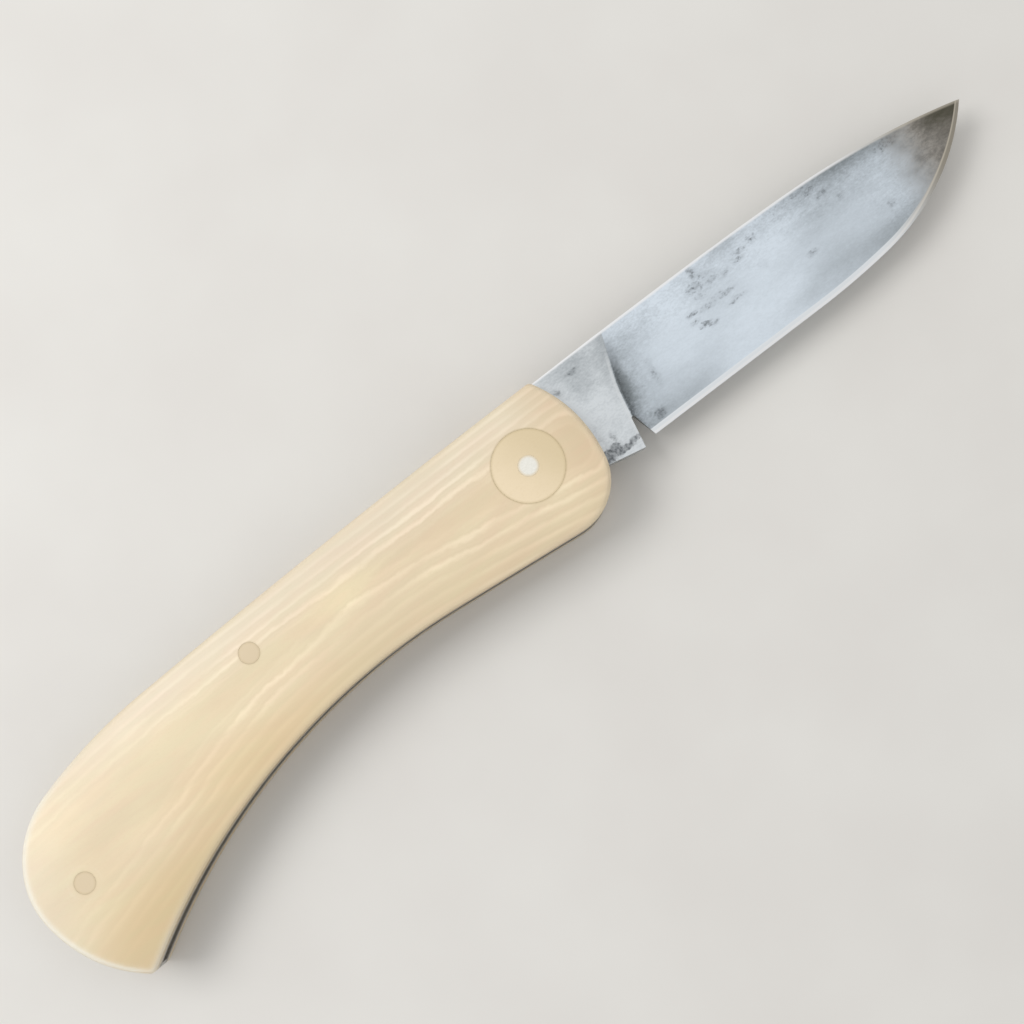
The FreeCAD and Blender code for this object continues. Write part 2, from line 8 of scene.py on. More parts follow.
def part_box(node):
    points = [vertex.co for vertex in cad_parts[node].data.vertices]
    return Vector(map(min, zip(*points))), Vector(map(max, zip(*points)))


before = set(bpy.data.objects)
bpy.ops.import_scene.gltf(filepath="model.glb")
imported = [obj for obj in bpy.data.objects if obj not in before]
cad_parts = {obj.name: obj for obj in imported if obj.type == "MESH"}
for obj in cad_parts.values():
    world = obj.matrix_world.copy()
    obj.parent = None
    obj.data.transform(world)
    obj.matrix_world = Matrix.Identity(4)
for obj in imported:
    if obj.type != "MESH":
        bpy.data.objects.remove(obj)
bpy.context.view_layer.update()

# Lengths are millimetres in the knife's own frame, with the pivot axis at the origin.
MM = 0.001


def span_arc(start, end, radius):
    """Centre and radius of the arc from start to end that bends to the left."""
    chord = Vector(end) - Vector(start)
    left = Vector((-chord.y, chord.x)).normalized()
    reach = math.sqrt(radius**2 - chord.length_squared / 4)
    return Vector(start) + chord / 2 + left * reach, radius


def next_arc(arc, start, end):
    """Arc that goes on smoothly from another one at start and runs through end."""
    inward = (arc[0] - Vector(start)).normalized()
    run = Vector(end) - Vector(start)
    radius = run.length_squared / (2 * run.dot(inward))
    return Vector(start) + inward * radius, radius


def point_on(arc, x, side):
    """Point of an arc at a reach, above its centre for a side of 1 and below for -1."""
    centre, radius = arc
    return x, centre.y + side * math.sqrt(radius**2 - (x - centre.x) ** 2)


def slope_on(arc, x):
    """Heading of an arc's upper side at a reach."""
    return math.asin((arc[0].x - x) / arc[1])


def ink(red, green, blue):
    """Linear colour of a shade given as it looks on a screen, 0 to 255."""
    shades = []
    for value in (red, green, blue):
        share = value / 255
        shades.append(share / 12.92 if share <= 0.04045 else ((share + 0.055) / 1.055) ** 2.4)
    return (*shades, 1.0)


# Handle outline
FRONT_TOP = (7.6, 9.91)
CHIN = (6.75, -13.06)
FRONT_RADIUS = 21.7
FRONT_ARC = span_arc(CHIN, FRONT_TOP, FRONT_RADIUS)
WAIST_ARC = (Vector((-31.84, -113.28)), 103.7)

# Layers of the covers, which run a little straighter than the outline: their back line, the lines that
# leave the waist towards the butt and the chin, and their spacing along the belly and the front
LAYER_BACK_Y = 9.7
LAYER_FALL_X = -50.0
LAYER_FALL_RADIUS = 300.0
LAYER_FALL_ARC = (Vector((LAYER_FALL_X, LAYER_BACK_Y - LAYER_FALL_RADIUS)), LAYER_FALL_RADIUS)
LAYER_TAIL_X = -62.4
LAYER_CHIN_X = -21.0
LAYER_CHIN_HEADING = math.radians(-9.0)
LAYER_BELLY_SPACING = 0.77
LAYER_FRONT_SPACING = 1.2
LAYER_FRONT_DEPTH = 6.4
LAYER_COUNT = 5.0
LAYER_CORE_DEPTH = 6.9
LAYER_CROWDING = 0.9
LAYER_SIDE_ROUNDING = 2.0
LAYER_FRONT_ROUNDING = 4.0
LAYER_LEAST_DEPTH = 0.05

# Inlays: centre and radius of the disc and the plugs, how far the disc's tone changes either way, and the
# reaches between which the plugs part from the disc
DISC_RADIUS = 5.54
DISC_FADE = 5.5
PLUG_RADIUS = 1.61
INLAYS = [((0.0, 0.0), DISC_RADIUS), ((-49.0, 2.92), PLUG_RADIUS), ((-87.55, -9.25), PLUG_RADIUS)]
PLUGS_FROM = -20.0
PLUGS_FULLY = -30.0

# Radius of the pivot pin, width of its dull rim, and radius of the soft turn over the covers' edges
PIN_RADIUS = 1.5875
PIN_RIM_WIDTH = 0.5
COVER_ROUND = 1.6

# Blade outline, and the plunge line with the bow of the finish behind it
TIP = (86.75, 5.35)
SPINE_Y = 10.06
SPINE_DROP = 34.0
SPINE_BLEND = 56.0
SPINE_RADIUS = 600.0
SPINE_ARC = (Vector((SPINE_DROP, SPINE_Y - SPINE_RADIUS)), SPINE_RADIUS)
SPINE_POINT_ARC = next_arc(SPINE_ARC, point_on(SPINE_ARC, SPINE_BLEND, 1), TIP)
EDGE_Y = -7.25
HEEL_X = 17.8
BELLY_START = 50.0
BELLY_BLEND = 64.0
BELLY_RADIUS = 120.0
BELLY_ARC = (Vector((BELLY_START, EDGE_Y + BELLY_RADIUS)), BELLY_RADIUS)
POINT_ARC = next_arc(BELLY_ARC, point_on(BELLY_ARC, BELLY_BLEND, -1), TIP)
BEVEL_WIDTH = 0.9
BEVEL_FADE = 0.2
GLEAM_HEIGHT = 0.25
PLUNGE_X = 18.0
PLUNGE_LEAN = 0.285
PLUNGE_BEND = 0.004
PLUNGE_BOW = ((18.5, 2.0), (6.0, 6.5), 0.3)
TARNISH_FROM = 62.0
TARNISH_FULLY = 80.0

# Heights at which the spring meets the liners, and half widths of the painted shade along the seam there
SEAMS = [corner[2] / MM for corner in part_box("backspring")]
SEAM_OUTER = 0.16
SEAM_INNER = 0.03

# Cream laminate
CREAM_DEEP = ink(223, 203, 171)
CREAM_PALE = ink(230, 213, 178)
# Painted light on the back and the butt, and painted shade at the front and along the belly
CREAM_BACK_PAINTED_LIGHT = ink(225, 212, 192)
CREAM_BUTT_PAINTED_LIGHT = ink(223, 213, 192)
CREAM_FRONT_PAINTED_SHADE = ink(213, 189, 157)
CREAM_BELLY_PAINTED_SHADE_REAR = ink(211, 186, 142)
CREAM_BELLY_PAINTED_SHADE_FRONT = ink(211, 190, 155)
CREAM_FLECK = ink(210, 188, 148)
# Painted shade on the covers' upright walls
CREAM_WALL_SHADE = ink(160, 136, 96)
CREAM_RING = ink(184, 166, 122)
# Painted highlight along the covers' rims, at the sides and round the butt
RIM_HIGHLIGHT_SIDE = ink(248, 233, 202)
RIM_HIGHLIGHT_BUTT = ink(255, 253, 242)
TINT_PINK = (1.01, 0.99, 0.99, 1.0)
TINT_GREEN = (0.99, 1.005, 0.995, 1.0)
LINE_GAIN = (1.19, 1.21, 1.27, 1.0)
DISC_PALE = ink(237, 218, 185)
DISC_DEEP = ink(219, 200, 163)
PLUG_TONE = ink(211, 192, 160)
INLAY_FLECK = ink(212, 190, 150)
INLAY_RING = ink(188, 168, 124)
LAMINATE_ROUGHNESS = 0.42
LAMINATE_UNEVENNESS = 0.12
LAMINATE_RELIEF = 0.005

# Blade steel
RICASSO_STEEL = ink(222, 227, 230)
FACE_STEEL = ink(231, 241, 250)
FILM_GREY = ink(146, 153, 157)
# Painted highlight on the ridge behind the plunge line, and painted shade in the cove ahead of it
RIDGE_HIGHLIGHT = ink(230, 233, 234)
COVE_SHADE_GREY = ink(128, 134, 138)
RAGGED_GREY = ink(98, 103, 105)
RUST_GREY = ink(90, 94, 98)
TIP_BROWN_DEEP = ink(120, 114, 105)
TIP_BROWN_PALE = ink(168, 161, 151)
TIP_DARK = ink(96, 91, 80)
TIP_DARKEST = ink(80, 78, 64)
BEVEL_CLEAN = ink(243, 247, 250)
BEVEL_TARNISHED = ink(166, 159, 146)
# Painted highlight along the bevel and the spine's corner, clean and tarnished
GLEAM_HIGHLIGHT_CLEAN = ink(255, 255, 255)
GLEAM_HIGHLIGHT_TARNISHED = ink(212, 204, 188)
FILED_DEEP = ink(158, 161, 163)
FILED_PALE = ink(192, 195, 197)
BLADE_ROUGHNESS = 0.36
BLADE_RELIEF = 0.004

# Other metal, and the floor
LINER_STEEL = ink(176, 170, 160)
SPRING_STEEL = ink(182, 181, 178)
# Painted shade in the joints where the spring meets the liners
SEAM_SHADE_BROWN = ink(60, 51, 42)
PIN_DEEP = ink(231, 229, 220)
PIN_PALE = ink(239, 237, 229)
PIN_RIM = ink(224, 207, 176)
BRONZE_DEEP = ink(176, 128, 70)
BRONZE_PALE = ink(202, 156, 92)
FLOOR_DEEP = ink(222, 219, 214)
FLOOR_PALE = ink(227, 225, 220)
LINER_ROUGHNESS = 0.38
SPRING_ROUGHNESS = 0.35
PIN_ROUGHNESS = 0.45
BRONZE_ROUGHNESS = 0.35
FLOOR_ROUGHNESS = 0.8
STEEL_RELIEF = 0.003
BRONZE_RELIEF = 0.002

# Tones of the covers: centre, half length and half width of each soft patch, its share and its colour
COVER_TONES = [
    ((-80.0, -18.0), (24.0, 10.0), 0.7, ink(219, 199, 157)),
    ((-60.0, -9.0), (20.0, 7.0), 0.5, ink(224, 200, 154)),
    ((-33.0, 1.5), (10.0, 3.5), 0.5, ink(238, 221, 180)),
]

# Where the lines of the covers draw in at the waist, and where they stand out more: centre, half length and
# half width, and how much
WAIST_DIP = ((-33.5, 1.0), (9.0, 4.0), 0.5)
CLEAR_LINES = [
    ((-18.0, 4.2), (17.0, 3.0), 0.7),
    ((-14.0, -4.2), (13.0, 3.0), 0.5),
]

# Grey film on the blade: centre, half length and half width of each patch, and its share
PLUNGE_FILM = ((18.8, 1.0), (3.0, 5.5), 0.5)
FILM = [
    ((25.0, -5.8), (11.0, 3.5), 0.5),
    ((66.0, 9.0), (16.0, 5.0), 0.4),
    ((40.0, 6.0), (10.0, 7.0), 0.15),
    # Painted darker reflection just above the bevel near the front, not film
    ((68.0, -5.0), (12.0, 4.0), 0.45),
    ((13.0, 8.5), (7.0, 5.0), 0.3),
    ((22.5, 8.0), (5.0, 5.0), 0.2),
    ((57.0, -3.5), (10.0, 4.5), 0.25),
    ((30.5, -3.0), (7.0, 4.0), 0.15),
    ((16.0, 8.0), (5.0, 6.0), 0.25),
    ((14.0, 4.5), (3.5, 3.0), 0.3),
    ((24.5, -2.0), (6.0, 3.5), 0.2),
    ((59.0, 4.5), (9.0, 3.5), 0.2),
    ((44.0, 9.2), (5.0, 2.0), 0.3),
    ((27.5, 6.5), (5.0, 4.5), 0.15),
    ((49.0, -5.0), (6.0, 2.5), 0.15),
    # Painted light: this patch lightens the ricasso where the cover's shadow falls on it
    ((9.5, 4.0), (4.0, 6.0), -0.15),
]

# Old rust on the blade: centre, half length and half width of each stain, and how dark it is
SPINE_RUST = ((54.0, 8.5), (15.0, 3.5), 0.3)
STAINS = [
    ((33.8, 3.7), (0.8, 0.3), 0.55),
    ((33.6, 2.4), (0.7, 0.4), 0.4),
    ((34.7, 1.3), (1.0, 0.3), 0.6),
    ((35.8, 0.7), (0.9, 0.35), 0.5),
    ((36.6, 6.7), (1.3, 0.7), 0.5),
    ((37.5, 8.8), (0.5, 1.1), 0.5),
    ((38.6, 7.4), (1.2, 0.5), 0.35),
    ((36.6, 5.3), (1.2, 0.5), 0.35),
    ((39.2, 6.1), (0.9, 0.35), 0.5),
    ((41.8, 5.8), (1.0, 0.4), 0.35),
    ((36.6, 3.3), (1.5, 0.4), 0.4),
    ((38.4, 3.8), (1.2, 0.4), 0.35),
    ((40.2, 3.3), (1.4, 0.35), 0.5),
    ((40.8, 1.6), (1.3, 0.35), 0.45),
    ((45.4, 7.1), (1.0, 0.35), 0.5),
    ((44.6, 6.2), (0.8, 0.3), 0.45),
    ((48.0, 7.7), (0.7, 0.6), 0.5),
    ((47.2, 3.3), (0.6, 0.6), 0.3),
    ((54.0, 0.1), (0.8, 0.4), 0.5),
    ((57.4, 8.8), (1.5, 0.5), 0.4),
    ((59.2, 8.0), (1.2, 0.6), 0.5),
    ((60.4, 6.6), (1.0, 0.4), 0.45),
    ((62.8, 4.4), (0.5, 0.5), 0.4),
    ((68.3, -1.1), (0.6, 0.5), 0.5),
    ((73.3, 6.7), (1.9, 0.7), 0.5),
    ((23.8, -0.2), (0.5, 1.4), 0.4),
    ((23.9, 1.8), (0.5, 0.8), 0.3),
    ((21.1, -5.1), (0.8, 0.6), 0.7),
    ((14.0, 7.8), (1.0, 0.3), 0.55),
    ((10.5, 6.4), (0.4, 0.5), 0.65),
    ((12.4, -5.6), (0.7, 0.8), 0.9),
    ((13.4, -6.4), (1.3, 0.5), 1.0),
    ((15.4, -6.0), (0.9, 0.4), 0.7),
    ((10.8, -5.9), (0.9, 0.9), 1.0),
    ((13.0, -4.0), (0.3, 0.8), 0.5),
]

# Stage: floor, lamp, dome and camera
FLOOR_SIZE = 3000.0
FLOOR_DROP = 0.05
LAMP_UP = (0.0, 1.0, 0.01)
DOME_HORIZON = 0.45
DOME_TOP = 0.8
VIEW_ANGLE = math.radians(35.0)
VIEW_SPOT = (-15.3, -22.9, 248.3)
VIEW_TARGET = (-5.8, -3.5, 5.7)
VIEW_UP = (0.606, 0.795, 0.0)
VIEW_NEAR = 10.0
VIEW_FAR = 10000.0


class Field:
    """Number that varies over a surface; sums and products of fields make the nodes that work them out."""

    def __init__(self, graph, socket):
        self.graph = graph
        self.socket = socket

    def __add__(self, other):
        return self.graph.math("ADD", self, other)

    def __radd__(self, other):
        return self.graph.math("ADD", other, self)

    def __sub__(self, other):
        return self.graph.math("SUBTRACT", self, other)

    def __rsub__(self, other):
        return self.graph.math("SUBTRACT", other, self)

    def __mul__(self, other):
        return self.graph.math("MULTIPLY", self, other)

    def __truediv__(self, other):
        return self.graph.math("DIVIDE", self, other)

    def __pow__(self, other):
        return self.graph.math("POWER", self, other)


class Graph:
    """Material under construction, with the surface point in millimetres of the piece's own frame."""

    def __init__(self, name):
        self.material = bpy.data.materials.new(name)
        self.material.use_nodes = True
        self.tree = self.material.node_tree
        self.shader = self.tree.nodes["Principled BSDF"]
        place = self.make("TexCoord", "Object", {})
        self.point = self.make("VectorMath", 0, {0: place, "Scale": 1 / MM}, operation="SCALE")
        self.plan = self.make("VectorMath", 0, {0: self.point, 1: (1.0, 1.0, 0.0)}, operation="MULTIPLY")
        self.x, self.y, self.z = (self.make("SeparateXYZ", axis, {0: self.point}) for axis in "XYZ")

    def feed(self, socket, value):
        """Link a field to a socket, or set a plain value on it."""
        if isinstance(value, Field):
            self.tree.links.new(value.socket, socket)
        else:
            socket.default_value = value

    def make(self, kind, output, inputs, **settings):
        """One output of a new node of a kind, with what its inputs take and its settings."""
        node = self.tree.nodes.new("ShaderNode" + kind)
        for name, value in settings.items():
            setattr(node, name, value)
        for key, value in inputs.items():
            self.feed(node.inputs[key], value)
        return Field(self, node.outputs[output])

    def math(self, operation, first, second=0.0, third=0.0):
        """Result of an operation on up to three numbers or fields."""
        return self.make("Math", 0, {0: first, 1: second, 2: third}, operation=operation)

    def absolute(self, value):
        """A number without its sign."""
        return self.math("ABSOLUTE", value)

    def larger(self, first, second):
        """The larger of two numbers."""
        return self.math("MAXIMUM", first, second)

    def smaller(self, first, second):
        """The smaller of two numbers."""
        return self.math("MINIMUM", first, second)

    def smooth_min(self, first, second, reach):
        """The smaller of two numbers, rounded off where they are within a reach of each other."""
        return self.math("SMOOTH_MIN", first, second, reach)

    def distance(self, centre):
        """Distance from an upright line through a point of the plan."""
        inputs = {0: self.plan, 1: (centre[0], centre[1], 0.0)}
        return self.make("VectorMath", "Value", inputs, operation="DISTANCE")

    def outside(self, arc):
        """How far a point lies outside an arc's circle."""
        return self.distance(arc[0]) - arc[1]

    def within(self, arc):
        """How far a point lies inside an arc's circle."""
        return arc[1] - self.distance(arc[0])

    def beside(self, point, heading):
        """How far a point lies to the left of a line through another point."""
        return (self.y - point[1]) * math.cos(heading) - (self.x - point[0]) * math.sin(heading)

    def height_of(self, arc, side):
        """Height of an arc's upper side, or of its lower side for a side of -1, at the point's reach."""
        reach = self.x - arc[0].x
        return self.math("SQRT", arc[1] ** 2 - reach * reach) * side + arc[0].y

    def chain(self, first, *turns):
        """Field that changes over to the next one at each reach along X."""
        result = first
        for reach, field in turns:
            ahead = self.math("GREATER_THAN", self.x, reach)
            result = result + (field - result) * ahead
        return result

    def step(self, value, low, high, least=0.0, most=1.0):
        """Smooth change from the least at low to the most at high, also where low is above high."""
        inputs = {"Value": value, "From Min": low, "From Max": high, "To Min": least, "To Max": most}
        if low > high:
            inputs.update({"From Min": high, "From Max": low, "To Min": most, "To Max": least})
        return self.make("MapRange", "Result", inputs, interpolation_type="SMOOTHSTEP")

    def spread(self, value, reach):
        """Share from 0 to 1 of a number that varies about 0 within a reach."""
        return self.step(value, -reach, reach)

    def patch(self, centre, size, share=1.0):
        """Soft oval of the plan: a share in the middle, 0 from a radius of one size outwards."""
        across = (self.x - centre[0]) / size[0]
        along = (self.y - centre[1]) / size[1]
        return self.step(self.math("SQRT", across * across + along * along), 1.0, 0.0, most=share)

    def noise(self, size, detail=2.0, roughness=0.5, shift=(0.0, 0.0, 0.0)):
        """Noise about 0, with features of a size in millimetres along X, Y and Z."""
        scale = [1 / length for length in size]
        place = self.make("Mapping", 0, {"Vector": self.point, "Location": shift, "Scale": scale})
        inputs = {"Vector": place, "Scale": 1.0, "Detail": detail, "Roughness": roughness}
        return self.make("TexNoise", "Fac", inputs) - 0.5

    def blend(self, share, first, second, mode="MIX"):
        """Mix of two colours or directions, with a share of the second."""
        inputs = {"Factor": share, 6: first, 7: second}
        return self.make("Mix", 2, inputs, data_type="RGBA", blend_type=mode)

    def surface(self, output):
        """Direction of the surface: Normal as it is shaded, True Normal as its facets lie."""
        return self.make("NewGeometry", output, {})

    def rounded(self, radius):
        """Surface direction that turns gently over the piece's edges, and how much it turns there."""
        soft = self.make("Bevel", "Normal", {"Radius": radius * MM})
        inputs = {0: soft, 1: self.surface("True Normal")}
        return soft, 1.0 - self.make("VectorMath", "Value", inputs, operation="DOT_PRODUCT")

    def upright(self, most, low=0.5, high=0.9):
        """Share of a wall's finish, by how steep a face is: 0 up to low and the most from high."""
        rise = self.make("SeparateXYZ", "Z", {0: self.surface("True Normal")})
        return self.step(1.0 - self.absolute(rise), low, high, most=most)

    def bump(self, height, depth, normal=None):
        """Surface relief of a height field, in millimetres, on the plain or a given surface direction."""
        inputs = {"Strength": 1.0, "Distance": depth * MM, "Height": height}
        if normal:
            inputs["Normal"] = normal
        self.feed(self.shader.inputs["Normal"], self.make("Bump", 0, inputs))

    def finish(self, colour, roughness, metallic=0.0, specular=0.5):
        """The finished material."""
        self.feed(self.shader.inputs["Base Color"], colour)
        self.feed(self.shader.inputs["Roughness"], roughness)
        self.shader.inputs["Metallic"].default_value = metallic
        self.shader.inputs["Specular IOR Level"].default_value = specular
        return self.material


def layer_depth(graph):
    """How deep a point of a cover's crowned face lies in its layers, in millimetres from the edges in."""
    fall = graph.height_of(LAYER_FALL_ARC, 1)
    back = graph.chain(fall, (LAYER_FALL_X, LAYER_BACK_Y)) - graph.y
    tail = graph.beside(point_on(WAIST_ARC, LAYER_TAIL_X, 1), slope_on(WAIST_ARC, LAYER_TAIL_X))
    waist = graph.outside(WAIST_ARC)
    chin = graph.beside(point_on(WAIST_ARC, LAYER_CHIN_X, 1), LAYER_CHIN_HEADING)
    belly = graph.chain(tail, (LAYER_TAIL_X, waist), (LAYER_CHIN_X, chin)) * LAYER_BELLY_SPACING
    sides = graph.smooth_min(back, belly, LAYER_SIDE_ROUNDING)
    front = graph.chain(FRONT_RADIUS, (FRONT_ARC[0].x, graph.within(FRONT_ARC)))
    front = front * LAYER_FRONT_SPACING + LAYER_FRONT_DEPTH
    return graph.larger(graph.smooth_min(sides, front, LAYER_FRONT_ROUNDING), LAYER_LEAST_DEPTH)


def ring_distance(graph):
    """How far a point lies from the nearest rim of an inlay."""
    rims = [graph.absolute(graph.distance(centre) - radius) for centre, radius in INLAYS]
    return functools.reduce(graph.smaller, rims)


def feathered_line(graph, count):
    """Soft line at each whole number of a count, feathered further on its outer side."""
    saw = graph.math("FRACT", count)
    return graph.step(saw, 0.1, 0.75) * graph.step(saw, 1.0, 0.72)


def layer_lines(graph, depth):
    """Strength of the lines where a cover's face cuts its layers: wavy, patchy, and none in the core."""
    sway = graph.noise((18.0, 6.0, 30.0), 1.5) - graph.patch(*WAIST_DIP)
    ripple = graph.noise((3.0, 2.0, 20.0), 3.0) * 0.55 + graph.noise((1.0, 0.8, 20.0), 3.0) * 0.3
    layer = (depth / LAYER_CORE_DEPTH) ** LAYER_CROWDING * LAYER_COUNT
    layer = layer + (sway + ripple) * graph.step(depth, 0.3, 7.0)
    lines = feathered_line(graph, layer) * 0.85
    threads = feathered_line(graph, layer * 2.0 + 0.4) * 0.2
    patchy = graph.larger(graph.noise((12.0, 2.0, 20.0), 1.0) * 1.6 + 0.6, 0.2)
    for spot in CLEAR_LINES:
        patchy = patchy + graph.patch(*spot)
    outer = graph.step(layer, 5.8, 5.2) * graph.step(graph.x, -92.0, -58.0, least=0.4)
    inner = graph.larger(graph.step(layer, 2.0, 4.6), graph.step(graph.x, -25.0, 0.0)) * 0.5 + 0.5
    return (lines + threads) * patchy * outer * inner


def cover_body(graph, depth):
    """Body tone of the covers: paler along the back and butt with painted light, darker and warmer at the
    front and belly with painted shade.
    """
    body = graph.noise((24.0, 9.0, 20.0), 3.0) + graph.noise((9.0, 1.3, 20.0), 2.0) * 0.5
    colour = graph.blend(graph.spread(body, 0.25), CREAM_DEEP, CREAM_PALE)
    # Painted light along the back and the butt, on the sides facing the lamp, and painted shade at the front.
    colour = graph.blend(graph.step(graph.y, 0.0, 8.0, most=0.6), colour, CREAM_BACK_PAINTED_LIGHT)
    colour = graph.blend(graph.step(graph.x, -84.0, -96.0, most=0.4), colour, CREAM_BUTT_PAINTED_LIGHT)
    colour = graph.blend(graph.step(graph.x, 0.0, 9.0, most=0.65), colour, CREAM_FRONT_PAINTED_SHADE)
    for centre, size, share, tone in COVER_TONES:
        colour = graph.blend(graph.patch(centre, size, share), colour, tone)
    # Painted shade: darker and warmer near the edges along the belly.
    low = graph.step(depth, 6.0, 0.0, most=0.55) * graph.step(graph.y, 2.0, -6.0)
    belly_shade_tone = graph.blend(graph.step(graph.x, -50.0, -25.0), CREAM_BELLY_PAINTED_SHADE_REAR, CREAM_BELLY_PAINTED_SHADE_FRONT)
    colour = graph.blend(low, colour, belly_shade_tone)
    fleck = graph.noise((0.5, 0.2, 0.5))
    colour = graph.blend(graph.step(fleck, 0.0, 0.25, most=0.12), colour, CREAM_FLECK)
    hue = graph.spread(graph.noise((8.0, 1.6, 20.0), shift=(5.0, 2.0, 0.0)), 0.15)
    return graph.blend(1.0, colour, graph.blend(hue, TINT_PINK, TINT_GREEN), "MULTIPLY")


def cover_material():
    """Layered cream laminate: soft lines along the edges, painted highlight on the rims, painted shade on the
    walls, and a thin line round each inlay.
    """
    graph = Graph("cream_laminate")
    depth = layer_depth(graph)
    colour = graph.blend(layer_lines(graph, depth), cover_body(graph, depth), LINE_GAIN, "MULTIPLY")
    # Painted shade on the covers' upright walls.
    colour = graph.blend(graph.upright(most=0.5, low=0.6, high=0.95), colour, CREAM_WALL_SHADE)

    rim = ring_distance(graph)
    soft, turn = graph.rounded(COVER_ROUND)
    butt = graph.step(graph.x, -70.0, -90.0)
    off_belly = graph.step(graph.outside(WAIST_ARC), 1.0, 2.5, least=0.7)
    # Painted highlight along the rims of the covers, whitest round the butt and a little weaker along the
    # belly.
    rim_highlight = graph.step(turn, 0.002, 0.07) * graph.step(rim, 0.6, 1.2) * (butt * 0.4 + 0.6) * off_belly
    colour = graph.blend(rim_highlight, colour, graph.blend(butt, RIM_HIGHLIGHT_SIDE, RIM_HIGHLIGHT_BUTT))
    ring = graph.step(rim, 0.3, 0.04) * graph.step(graph.x, PLUGS_FULLY, PLUGS_FROM, least=0.2, most=0.4)
    colour = graph.blend(ring, colour, CREAM_RING)

    direction = graph.blend(graph.step(rim, 1.0, 2.5) * off_belly, graph.surface("Normal"), soft)
    graph.bump(graph.noise((0.9, 0.35, 0.9), 3.0), LAMINATE_RELIEF, direction)
    cloud = graph.noise((4.0, 2.0, 4.0), 3.0)
    return graph.finish(colour, cloud * LAMINATE_UNEVENNESS + LAMINATE_ROUGHNESS)


def inlay_material():
    """Laminate of the disc and plugs, plainer and a little deeper in tone than the covers."""
    graph = Graph("inlay_laminate")
    cloud = graph.noise((5.0, 3.0, 5.0), 3.0)
    fleck = graph.noise((0.4, 0.2, 0.4))
    across = graph.spread(graph.x + graph.y * 0.5 + cloud * 4.0, DISC_FADE)
    colour = graph.blend(across, DISC_PALE, DISC_DEEP)
    plug = graph.step(graph.x, PLUGS_FROM, PLUGS_FULLY)
    colour = graph.blend(plug * 0.8, colour, PLUG_TONE)
    colour = graph.blend(graph.step(fleck, 0.0, 0.25, most=0.15), colour, INLAY_FLECK)
    ring = graph.step(ring_distance(graph), 0.4, 0.04) * (0.35 - plug * 0.1)
    colour = graph.blend(ring, colour, INLAY_RING)
    graph.bump(fleck, LAMINATE_RELIEF)
    return graph.finish(colour, cloud * LAMINATE_UNEVENNESS + LAMINATE_ROUGHNESS)


class BladeGraph(Graph):
    """Material of the blade, with distances from its lines and the noises that its marks share."""

    def __init__(self, name):
        super().__init__(name)
        belly = (BELLY_START, self.height_of(BELLY_ARC, -1)), (BELLY_BLEND, self.height_of(POINT_ARC, -1))
        self.above_edge = self.y - self.chain(EDGE_Y, *belly)
        drop = (SPINE_DROP, self.height_of(SPINE_ARC, 1)), (SPINE_BLEND, self.height_of(SPINE_POINT_ARC, 1))
        self.below_spine = self.chain(SPINE_Y, *drop) - self.y
        line = self.y * PLUNGE_LEAN + self.y * self.y * PLUNGE_BEND + PLUNGE_X
        self.plunge = self.x - line + self.patch(*PLUNGE_BOW)
        self.ground = self.step(self.plunge, -0.1, 0.15)
        self.scratch = self.noise((0.12, 3.5, 3.0), 3.0)
        self.cloud = self.noise((11.0, 4.0, 9.0), 3.0)
        self.mottle = self.noise((1.5, 0.8, 1.5), 4.0, 0.65)
        self.grit = self.noise((0.5, 0.3, 0.5), 3.0, 0.6)


def patina_texture(graph):
    """Grain of the patina: rough by the spine, the plunge line and the tip, smoother in mid-face."""
    rough = graph.larger(graph.step(graph.below_spine, 8.0, 2.0), graph.step(graph.plunge, 7.0, 1.0))
    rough = graph.larger(rough, graph.step(graph.x, 62.0, 74.0))
    return (graph.mottle * 0.65 + graph.grit * 0.65) * (rough * 0.65 + 0.35)


def grey_film(graph):
    """Share of grey film: about the plunge line, on the front half, under the spine and in patches."""
    ahead = graph.step(graph.plunge + graph.cloud * 3.0, 9.0, 0.0, most=0.55) * graph.ground
    film = ahead * graph.step(graph.y, 9.0, 4.5)
    film = film + graph.patch(*PLUNGE_FILM) * graph.ground
    behind = graph.step(graph.plunge, -3.5, -0.5, most=0.4) * (1.0 - graph.ground)
    film = film + behind * graph.step(graph.y, -2.0, 6.0)
    film = film + graph.step(graph.x + graph.cloud * 8.0, 46.0, 59.0, most=0.22)
    under_spine = graph.step(graph.below_spine + graph.mottle * 2.0, 2.2, 0.0, most=0.3)
    film = film + under_spine * graph.step(graph.x, 50.0, 64.0)
    for spot in FILM:
        film = film + graph.patch(*spot)
    return graph.smaller(film + graph.cloud * 0.35 + patina_texture(graph) + 0.08, 1.0)


def plunge_stains(graph, colour):
    """Painted highlight on the ridge behind the plunge line, painted shade of the cove and ragged old rust
    ahead of it.
    """
    # Painted highlight along the ridge behind the plunge line.
    ridge = graph.step(graph.absolute(graph.plunge + 0.35), 0.35, 0.05) * (1.0 - graph.ground)
    colour = graph.blend(ridge * graph.step(graph.y, 8.0, 5.0, most=0.4), colour, RIDGE_HIGHLIGHT)
    # Painted shade in the cove ahead of the plunge line.
    shade = graph.step(graph.plunge, 2.2, 0.2, most=0.4) * graph.ground
    shade = shade * graph.step(graph.y, -1.0, 5.0) * graph.step(graph.y, 9.2, 7.0)
    colour = graph.blend(shade, colour, COVE_SHADE_GREY)
    ragged = graph.step(graph.plunge + graph.mottle * 2.6, 1.7, 0.1) * graph.ground
    ragged = ragged * graph.step(graph.y, 6.5, 2.5) * (graph.grit * 2.5 + 0.85)
    return graph.blend(graph.smaller(ragged, 1.0) * 0.75, colour, RAGGED_GREY)


